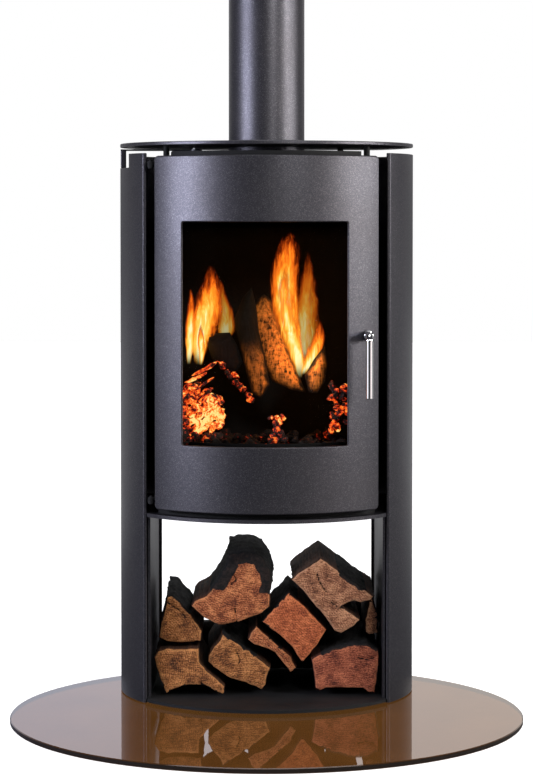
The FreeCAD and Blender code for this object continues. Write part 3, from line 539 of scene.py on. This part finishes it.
def firewood(name, outline, ends, node, looks, seed, bark=(), cracks=(), rind=0.0, pith=None,
             taper=0.0):
    """One split log, with its ends cut square. outline is its front end in X and Z, and ends are
    its front and rear in Y.

    bark holds the arcs, in degrees round the end's centre, that are covered by bark, and rind is
    the bark's thickness seen at the end. cracks are lines on the ends, pith is the middle of the
    growth rings, and taper is how much smaller the rear end is, or larger if negative."""
    rng = random.Random(seed)
    edge = resampled(outline, RIM_STEP)
    foot = min(p[1] for p in edge)
    cx, cz = middle(edge)
    pith = pith or (cx, cz)

    def barked(x, z):
        angle = math.degrees(math.atan2(z - cz, x - cx)) % 360
        return 1.0 if any(a <= angle <= b or a <= angle - 360 <= b for a, b in bark) else 0.0

    normals = outward_normals(edge)
    flags = [barked(*p) for p in edge]
    bm = bmesh.new()
    layers = {k: bm.verts.layers.float.new(k) for k in ("bark", "edge", "pith", "crack")}
    rings = []
    for s in range(LOG_STATIONS + 1):
        t = s / LOG_STATIONS
        y = ends[0] + (ends[1] - ends[0]) * t
        at_end = s in (0, LOG_STATIONS)
        sink = taper * t
        ring = []
        for i, (x, z) in enumerate(edge):
            rough = 1.5 + 1.6 * flags[i]
            push = rough * wobble(x, y * 0.35, z, 9.0, seed)
            push += 2.2 * wobble(x, y * 0.25, z, 38.0, seed)
            push = min(push, 0.5) - 2.4 if at_end else push - 1.2
            px = x + normals[i].x * push + (cx - x) * sink
            pz = z + normals[i].y * push + (foot - z) * sink
            v = bm.verts.new(at(px, y, pz))
            v[layers["bark"]] = flags[i]
            ring.append(v)
        rings.append(ring)
    for face in band(bm, rings):
        face.material_index = SIDE_LOOK
    for side, ring, step in ((-1, rings[0], FRONT_STEP), (1, rings[-1], REAR_STEP)):
        rim = [(v.co.x / MM, (v.co.z - HEARTH_TOP) / MM) for v in ring]
        points, faces = filled(rim, step, rng)
        y = ends[0] if side < 0 else ends[1]
        made = []
        for k, (x, z) in enumerate(points):
            depth = to_segments((x, z), rim)
            gap = min([to_segments((x, z), c, False) for c in cracks] or [NO_CRACK])
            bulge = 1.6 * wobble(x, 0, z, 16.0, seed) + 0.9 * wobble(x, 5, z, 5.0, seed) + 2.0
            bulge *= min(1.0, depth / 5.0)
            bulge -= CRACK_DEPTH * max(0.0, 1 - gap / CRACK_REACH)
            v = bm.verts.new(at(x, y + side * bulge, z))
            v[layers["edge"]] = depth * MM
            v[layers["pith"]] = math.dist((x, z), pith) * MM
            v[layers["crack"]] = gap * MM
            if rind:
                cover = min(1.0, max(0.0, 0.5 + (rind - depth) / 6.0))
                v[layers["bark"]] = barked(x, z) * cover
            made.append(v)
        for f in faces:
            bm.faces.new([made[k] for k in f])
    bmesh.ops.remove_doubles(bm, verts=bm.verts, dist=0.00002)
    piece(name, bm, looks, (node,))


def looks_of(name, dark, mid, pale, turn):
    return [log_end(name + "_end", dark, mid, pale, turn), log_side_painted_shade(name + "_side", dark, mid)]


YELLOW = looks_of("yellow_brown_log", (0.13, 0.042, 0.012), (0.42, 0.145, 0.040),
                  (0.70, 0.31, 0.105), 1.4)
BROWN = looks_of("brown_log", (0.17, 0.038, 0.014), (0.54, 0.150, 0.052), (0.80, 0.33, 0.13), 0.3)
ORANGE = looks_of("orange_log", (0.34, 0.070, 0.022), (0.64, 0.155, 0.052), (0.82, 0.27, 0.10), -0.7)
RED = looks_of("red_brown_log", (0.16, 0.034, 0.016), (0.42, 0.105, 0.050), (0.64, 0.21, 0.10), 1.5)
PALE = looks_of("pale_brown_log", (0.20, 0.070, 0.034), (0.50, 0.205, 0.100), (0.74, 0.40, 0.22), -0.75)

LOWER, UPPER = "firewood_lower_logs", "firewood_upper_logs"
firewood("log_store_1", [(-220, 85), (-211, 99), (-194, 104), (-131, 104), (-129, 77), (-112, 58),
                         (-80, 29), (-81, 15), (-88, 11), (-118, 29), (-150, 31), (-178, 23),
                         (-195, 13), (-208, 42), (-216, 68)],
         (-140, 130), LOWER, YELLOW, 1, bark=[(200, 330)], cracks=[[(-128, 30), (-126, 36)]],
         pith=(-260, 60))
firewood("log_store_2", [(-86, 132), (-72, 122), (-41, 103), (-22, 90), (8, 63), (2, 48), (-1, 29),
                         (-9, 17), (-41, 32), (-73, 42), (-102, 60), (-115, 74), (-114, 87),
                         (-102, 106), (-93, 116)],
         (-128, 124), LOWER, YELLOW, 2, bark=[(20, 120)], cracks=[[(-60, 96), (-52, 82), (-54, 70)]],
         pith=(-40, -30), taper=-0.08)
firewood("log_store_3", [(-38, 116), (-33, 129), (-20, 145), (-9, 135), (26, 103), (49, 84),
                         (60, 61), (53, 53), (45, 51), (33, 68), (15, 90), (-6, 100), (-25, 106)],
         (-120, 132), LOWER, BROWN, 3, bark=[(0, 110)], pith=(-60, 20))
firewood("log_store_4", [(85, 84), (106, 95), (132, 106), (167, 113), (196, 114), (219, 100),
                         (219, 71), (216, 42), (211, 14), (196, 16), (187, 23), (139, 24),
                         (116, 24), (103, 18), (94, 24), (89, 52)],
         (-136, 134), LOWER, RED, 4, bark=[(30, 150)], rind=4.0,
         cracks=[[(176, 84), (196, 80), (210, 84)]], pith=(150, -60))
firewood("log_store_5", [(-197, 209), (-181, 207), (-154, 177), (-124, 135), (-127, 112),
                         (-150, 111), (-170, 110), (-194, 112), (-210, 121), (-205, 164),
                         (-199, 186)],
         (-122, 118), UPPER, YELLOW, 5, bark=[(30, 175)], rind=2.0,
         cracks=[[(-196, 190), (-172, 176), (-158, 160)]], pith=(-240, 90))
firewood("log_store_6", [(-148, 184), (-141, 195), (-118, 206), (-96, 235), (-80, 267), (-75, 287),
                         (-54, 291), (-32, 292), (-9, 283), (7, 257), (14, 231), (7, 209),
                         (8, 183), (-9, 169), (-41, 158), (-54, 151), (-93, 146), (-122, 161)],
         (-134, 140), UPPER, BROWN, 6, bark=[(-5, 178)], rind=20.0,
         cracks=[[(-58, 152), (-59, 168), (-62, 178)], [(-66, 246), (-58, 236), (-70, 226)]],
         pith=(-20, 330))
firewood("log_store_7", [(-12, 154), (44, 212), (74, 186), (118, 138), (100, 106), (70, 72),
                         (63, 80), (47, 103), (26, 125)],
         (-130, 120), UPPER, ORANGE, 7, bark=[(80, 200)], pith=(140, 220))
firewood("log_store_8", [(47, 236), (58, 249), (105, 280), (116, 273), (167, 235), (213, 204),
                         (203, 194), (183, 190), (171, 194), (148, 185), (167, 172), (183, 158),
                         (167, 142), (145, 130), (131, 136), (121, 152), (92, 186), (65, 219)],
         (-138, 136), UPPER, PALE, 8, bark=[(10, 80)], rind=5.0,
         cracks=[[(98, 247), (104, 229), (116, 213)], [(124, 193), (134, 186), (141, 179), (152, 186)]],
         pith=(60, 90))
firewood("log_store_9", [(200, 188), (207, 194), (219, 161), (219, 125), (200, 121), (192, 126),
                         (191, 150)],
         (-96, 128), UPPER, PALE, 9, bark=[(-60, 60)], pith=(150, 120))


def rear_log(name, outline, ends, seed):
    """A bark-covered log laid across the rear. outline is in Y and Z, ends in X."""
    edge = resampled(outline, REAR_STEP)
    cy, cz = middle(edge)
    bm = bmesh.new()
    bark = bm.verts.layers.float.new("bark")
    rings = []
    for s in range(REAR_LOG_STATIONS + 1):
        x = ends[0] + (ends[1] - ends[0]) * s / REAR_LOG_STATIONS
        ring = []
        for y, z in edge:
            sink = 0.03 + 0.05 * abs(wobble(x, y, z, 12.0, seed))
            v = bm.verts.new(at(x, y + (cy - y) * sink, z + (cz - z) * sink))
            v[bark] = 1.0
            ring.append(v)
        rings.append(ring)
    band(bm, rings)
    bm.faces.new(rings[0])
    bm.faces.new(rings[-1])
    piece(name, bm, [REAR_BARK], ("firewood_rear_logs",))


# The rear logs wear the near-black side look: dark bark with painted shade.
REAR_BARK = log_side_painted_shade("rear_log_bark", (0.10, 0.05, 0.03), (0.2, 0.1, 0.06))
rear_log("log_store_10", [(138, 12), (138, 98), (148, 110), (174, 110), (186, 98), (187, 12)],
         (-205, 200), 10)
rear_log("log_store_11", [(141, 108), (140, 142), (150, 158), (170, 160), (183, 146), (183, 108)],
         (-96, 200), 11)


# ---- fire ---------------------------------------------------------------------------------

BURNING_STEP = 6.0        # millimetres between points on a burning log


def burning_log(name, outline, centre_y, lean, depth, look, seed):
    """A rounded log filled from its outline: front and back bulge by depth from the same rim."""
    rng = random.Random(seed)
    rim = resampled(outline, BURNING_STEP)
    points, faces = filled(rim, BURNING_STEP, rng)
    low = min(p[1] for p in outline)
    thick = max(to_segments(p, rim) for p in points)
    bm = bmesh.new()
    edge_layer = bm.verts.layers.float.new("edge")
    sides = []
    for side in (-1, 1):
        made = []
        for k, (x, z) in enumerate(points):
            inward = to_segments((x, z), rim)
            share = min(1.0, inward / thick)
            knots = 3.0 * wobble(x, side * 9, z, 22.0, seed) + 1.3 * wobble(x, 0, z, 7.0, seed)
            swell = depth * math.sqrt(max(0.0, 1 - (1 - share) ** 2)) + knots * min(1, inward / 8)
            offset = side * (1.0 if k < len(rim) else max(swell, 1.0))
            v = bm.verts.new(at(x, centre_y + lean * (z - low) + offset, z))
            v[edge_layer] = inward * MM
            made.append(v)
        for f in faces:
            bm.faces.new([made[k] for k in f])
        sides.append(made)
    front, back = sides
    for k in range(len(rim)):
        following = (k + 1) % len(rim)
        bm.faces.new((front[k], front[following], back[following], back[k]))
    piece(name, bm, [look], ("burning_logs",))


burning_log("burning_log_1", [(-36, 745), (-18, 778), (-5, 788), (11, 776), (26, 734), (50, 666),
                              (77, 597), (48, 602), (12, 618), (-14, 663)],
            -88, 0.34, 26, burning_wood("lit_log", -0.33, (0.46, 0.18, 0.045), 0.9), 21)
burning_log("burning_log_2", [(-29, 802), (-46, 784), (-64, 740), (-54, 691), (-41, 640), (-29, 597),
                              (-10, 586), (6, 613), (-2, 664), (-15, 715), (-20, 762)],
            -104, 0.28, 20, burning_wood("dark_log", 0.12, (0.40, 0.155, 0.04), 0.8, 0.68), 22)
burning_log("burning_log_3", [(74, 631), (92, 662), (114, 690), (119, 655), (114, 620), (99, 598),
                              (82, 598)],
            -112, 0.25, 18, burning_wood("right_log", 0.6, (0.46, 0.19, 0.05), 0.9), 23)
burning_log("burning_log_4", [(-122, 709), (-98, 713), (-72, 714), (-58, 690), (-46, 655),
                              (-60, 636), (-86, 640), (-108, 664)],
            -84, 0.1, 24, burning_wood("char_block", 0.2, (0.010, 0.005, 0.004), 0.02), 24)


LUMP_POINTS = 17          # random points that a lump of charcoal is the hull of


def any_way(rng):
    """A random unit vector."""
    return Vector((rng.gauss(0, 1), rng.gauss(0, 1), rng.gauss(0, 1))).normalized()


def lump(bm, layer, centre, size, heat, rng, long=1.0, lean=0.0):
    """One broken piece of charcoal: the hull of random points in a flattened ball.

    A long one leans by that angle about Y, and any other has a random turn."""
    if long > 1:
        turn = Matrix.Rotation(lean, 3, "Y")
    else:
        turn = Matrix.Rotation(rng.uniform(0, math.tau), 3, any_way(rng))
    squeeze = Vector((long, rng.uniform(0.5, 0.9), rng.uniform(0.42, 0.8)))
    verts = []
    for _ in range(LUMP_POINTS):
        p = any_way(rng) * rng.uniform(0.82, 1.0)
        p = turn @ Vector((p.x * squeeze.x, p.y * squeeze.y, p.z * squeeze.z))
        v = bm.verts.new(at(*(Vector(centre) + p * size)))
        v[layer] = heat + rng.uniform(-0.22, 0.14)
        verts.append(v)
    hull = bmesh.ops.convex_hull(bm, input=verts, use_existing_faces=False)
    loose = {g for key in ("geom_interior", "geom_unused") for g in hull[key]
             if isinstance(g, bmesh.types.BMVert)}
    bmesh.ops.delete(bm, geom=list(loose), context="VERTS")


def coals(name, lumps, seed):
    """A group of charcoal pieces: each lump is (x, y, z, radius, heat, length, lean)."""
    rng = random.Random(seed)
    bm = bmesh.new()
    layer = bm.verts.layers.float.new("glow_level")
    for x, y, z, size, heat, *shape in lumps:
        lump(bm, layer, (x, y, z), size, heat, rng, *shape)
    piece(name, bm, [EMBERS], ("ember_bed",), smooth=False)


EMBERS = embers()
RNG = random.Random(5)


def scattered(count, x, y, z, size, heat):
    """Random lumps in a box."""
    return [(RNG.uniform(*x), RNG.uniform(*y), RNG.uniform(*z), RNG.uniform(*size),
             RNG.uniform(*heat)) for _ in range(count)]


def left_pile():
    """A heap that slopes down from the left brick, hottest in its middle, with five long pieces
    lying over it."""
    lumps = []
    for _ in range(120):
        x, z = RNG.uniform(-164, -88), RNG.uniform(500, 632)
        if z > 632 - (x + 164) * 0.55 or z > 500 + (164 + x) * 3.2 + 110:
            continue
        hot = math.exp(-((x + 110) / 38) ** 2 - ((z - 552) / 40) ** 2)
        y = -176 + (z - 500) * 0.35 + RNG.uniform(-6, 10)
        cold = 0.35 if z < 524 else 0.0
        lumps.append((x, y, z, RNG.uniform(9, 19), 0.42 + 0.62 * hot - cold))
    for x, z, length, lean in ((-138, 628, 3.0, -0.45), (-126, 642, 3.2, -0.5), (-120, 618, 2.8, -0.6),
                               (-146, 606, 2.6, -0.35), (-108, 652, 2.6, -0.55)):
        lumps.append((x, -138, z, 9.0, 0.62, length, lean))
    return lumps


coals("embers_left", left_pile(), 31)
coals("embers_streak", [(-86 + 57 * t + RNG.uniform(-4, 4), -138 + RNG.uniform(-4, 4),
                         654 - 63 * t + RNG.uniform(-5, 5), RNG.uniform(7, 12), RNG.uniform(0.3, 0.6))
                        for t in [k / 13 for k in range(14)]], 32)
coals("embers_middle", [(x, -196 + RNG.uniform(-3, 3), z, r, RNG.uniform(0.55, 0.75)) for x, z, r in (
    (9, 514, 12), (20, 513, 11), (31, 515, 12), (14, 525, 12), (26, 527, 12), (19, 536, 12),
    (17, 546, 12), (24, 548, 12), (9, 557, 9), (20, 556, 11), (31, 557, 9), (21, 522, 12))], 33)
coals("embers_right", [(RNG.uniform(122, 160), -160 + RNG.uniform(-8, 8), z, RNG.uniform(9, 15),
                        RNG.uniform(0.38, 0.7)) for z in [530 + 4.2 * k for k in range(21)]], 34)
coals("charcoal_bed", scattered(150, (-160, 160), (-196, 60), (490, 508), (9, 17), (-0.4, 0.12)), 35)


FLAME_ROWS, FLAME_SIDES = 44, 20
FLAME_TIP = 0.6           # least half width of a flame


def along_curve(spots, share):
    """The point at that share of a smooth curve through all the spots."""
    last = len(spots) - 1
    k = min(int(share * last), last - 1)
    u = share * last - k
    before, a, b, after = spots[max(k - 1, 0)], spots[k], spots[k + 1], spots[min(k + 2, last)]
    return 0.5 * (2 * a + (b - before) * u + (2 * before - 5 * a + 4 * b - after) * u * u
                  + (3 * a - before - 3 * b + after) * u ** 3)


def flame(name, stations, centre_y, look, seed):
    """A tongue of flame: rings of flat ovals along stations of (x, z, half width)."""
    bm = bmesh.new()
    across, height = (bm.verts.layers.float.new(k) for k in ("across", "height"))
    spots = [Vector(s) for s in stations]
    rings = []
    for r in range(FLAME_ROWS + 1):
        x, z, width = along_curve(spots, r / FLAME_ROWS)
        width = max(width, FLAME_TIP)
        ring = []
        for i in range(FLAME_SIDES):
            angle = math.tau * i / FLAME_SIDES
            side = math.cos(angle)
            sway = 2.2 * wobble(x + 30 * side, 0, z, 26.0, seed)
            y = centre_y + 0.45 * width * math.sin(angle) + 0.12 * (z - spots[0].y)
            v = bm.verts.new(at(x + side * width + sway, y, z))
            v[across] = side
            v[height] = r / FLAME_ROWS
            ring.append(v)
        rings.append(ring)
    band(bm, rings)
    bm.faces.new(rings[0][::-1])
    bm.faces.new(rings[-1])
    piece(name, bm, [look]).visible_shadow = False


BRIGHT = flame_light("bright_flame", 1.25, 0.9)
DIM = flame_light("dim_flame", 0.62, 0.5)
flame("flame_main", [(64, 632, 3), (58, 666, 18), (48, 706, 25), (37, 755, 30), (35, 807, 32),
                     (40, 859, 29), (44, 890, 20), (47, 912, 4)], -72, BRIGHT, 41)
flame("flame_core", [(66, 622, 3), (62, 655, 15), (54, 695, 17), (42, 740, 16), (34, 790, 14),
                     (36, 830, 8), (37, 850, 2)], -86, BRIGHT, 42)
flame("flame_right", [(68, 636, 4), (70, 690, 20), (73, 734, 18), (77, 786, 15), (82, 838, 12),
                      (82, 878, 2)], -62, DIM, 43)
flame("flame_small", [(70, 630, 4), (86, 661, 17), (100, 697, 16), (106, 738, 2)], -80, BRIGHT, 44)
flame("flame_veil", [(72, 640, 6), (76, 690, 34), (78, 750, 30), (80, 810, 22), (82, 862, 4)],
      -44, DIM, 49)
flame("flame_left", [(-134, 648, 6), (-132, 687, 20), (-124, 724, 31), (-115, 765, 33),
                     (-108, 806, 25), (-110, 846, 4)], -88, BRIGHT, 45)
flame("flame_left_back", [(-86, 684, 6), (-80, 720, 20), (-80, 748, 18), (-86, 786, 12),
                          (-92, 820, 2)], -66, DIM, 46)
flame("flame_left_edge", [(-152, 650, 4), (-149, 703, 12), (-147, 744, 12), (-148, 800, 2)],
      -92, BRIGHT, 47)
flame("flame_left_low", [(-128, 650, 3), (-126, 680, 8), (-128, 708, 7), (-127, 735, 2)],
      -104, BRIGHT, 48)


GLOW_RADIUS = 0.02        # metres


def glow_lamp(name, x, y, z, watts, colour):
    """The light that a flame throws on the logs and bricks round it."""
    lamp = bpy.data.lights.new(name, "POINT")
    lamp.energy = watts
    lamp.color = colour
    lamp.shadow_soft_size = GLOW_RADIUS
    obj = bpy.data.objects.new(name, lamp)
    obj.location = at(x, y, z)
    obj.visible_glossy = False
    bpy.context.scene.collection.objects.link(obj)


glow_lamp("flame_glow_right", 74, -134, 690, 0.9, (1.0, 0.42, 0.1))
glow_lamp("flame_glow_left", -126, -130, 690, 0.16, (1.0, 0.4, 0.1))


# ---- studio -------------------------------------------------------------------------------

FLOOR_HALF = 14.0         # metres
FLOOR_GAP = 0.0006        # the floor lies this far under the hearth glass
EYE = (-0.0002, -4.758, 0.956)
SENSOR, LENS = 36.0, 116.05
DOWN = math.radians(2.0)  # pitch of the camera
HORIZON_RISE = 0.226343   # height of the horizon over the picture's middle, as a share of its height


def softbox(name, azimuth, elevation, distance, width, height, watts, colour, target=(0, 0, 620)):
    """Area light round the stove. Azimuth 0 is in front of the door and 90 to the right."""
    lamp = bpy.data.lights.new(name, "AREA")
    lamp.shape = "RECTANGLE"
    lamp.size, lamp.size_y = width, height
    lamp.energy = watts
    lamp.color = colour
    obj = bpy.data.objects.new(name, lamp)
    a, e = math.radians(azimuth), math.radians(elevation)
    away = Vector((math.sin(a) * math.cos(e), -math.cos(a) * math.cos(e), math.sin(e)))
    obj.location = at(*target) + away * distance
    obj.rotation_mode = "QUATERNION"
    obj.rotation_quaternion = away.to_track_quat("Z", "Y")
    bpy.context.scene.collection.objects.link(obj)


softbox("left_softbox", -62, 0, 3.2, 1.5, 0.6, 62, (0.80, 0.83, 1.0), (0, 0, 1240))
softbox("right_softbox", 80, 0, 3.2, 1.5, 0.6, 34, (1.0, 0.98, 0.96), (0, 0, 1240))
softbox("left_strip", -56, 0, 3.0, 2.6, 0.6, 6, (0.95, 0.96, 1.0), (0, 0, 600))
softbox("right_strip", 56, 0, 3.0, 2.6, 0.6, 6, (1.0, 0.90, 0.87), (0, 0, 600))
softbox("front_fill", 20, 22, 3.6, 0.4, 0.4, 24, (1.0, 0.99, 0.97))
softbox("key_light", 63, 16, 3.4, 0.14, 0.14, 34, (1.0, 0.98, 0.95), (194, -215, 716))


def top_light(strength, spread):
    """Soft light from straight above; spread is how wide it looks, in degrees."""
    sun = bpy.data.lights.new("top_light", "SUN")
    sun.energy = strength
    sun.angle = math.radians(spread)
    bpy.context.scene.collection.objects.link(bpy.data.objects.new("top_light", sun))


top_light(1.1, 50)


def studio_world():
    """White where the camera looks and behind the stove, and dark grey all round."""
    g = Graph("studio", "World")
    seen = g.add("ShaderNodeLightPath").outputs["Is Camera Ray"]
    behind = g.scaled(g.fit(g.along("Y"), 0.50, 1.0), g.fit(g.along("Z"), 0.0, 0.10))
    tone = g.mix(g.math("MAXIMUM", behind, seen), (0.055, 0.053, 0.06), (1.0, 1.0, 1.0))
    bpy.context.scene.world = g.show(g.add("ShaderNodeBackground", Color=tone).outputs[0])


def studio_floor():
    bm = bmesh.new()
    bmesh.ops.create_grid(bm, x_segments=4, y_segments=4, size=FLOOR_HALF)
    mesh = bpy.data.meshes.new("floor")
    bm.to_mesh(mesh)
    bm.free()
    mesh.materials.append(floor_paint())
    floor = bpy.data.objects.new("floor", mesh)
    floor.location = (0, 0, -FLOOR_GAP)
    bpy.context.scene.collection.objects.link(floor)


def studio_camera():
    """A long lens at eye height, tipped slightly down, with its picture shifted down."""
    camera = bpy.data.cameras.new("camera")
    camera.sensor_width = SENSOR
    camera.lens = LENS
    camera.sensor_fit = "AUTO"
    camera.shift_y = math.tan(DOWN) * LENS / SENSOR - HORIZON_RISE
    view = bpy.data.objects.new("camera", camera)
    view.location = EYE
    view.rotation_euler = (math.radians(90) - DOWN, 0, 0)
    bpy.context.scene.collection.objects.link(view)
    bpy.context.scene.camera = view


studio_world()
studio_floor()
studio_camera()
bpy.context.scene.view_settings.view_transform = "Standard"
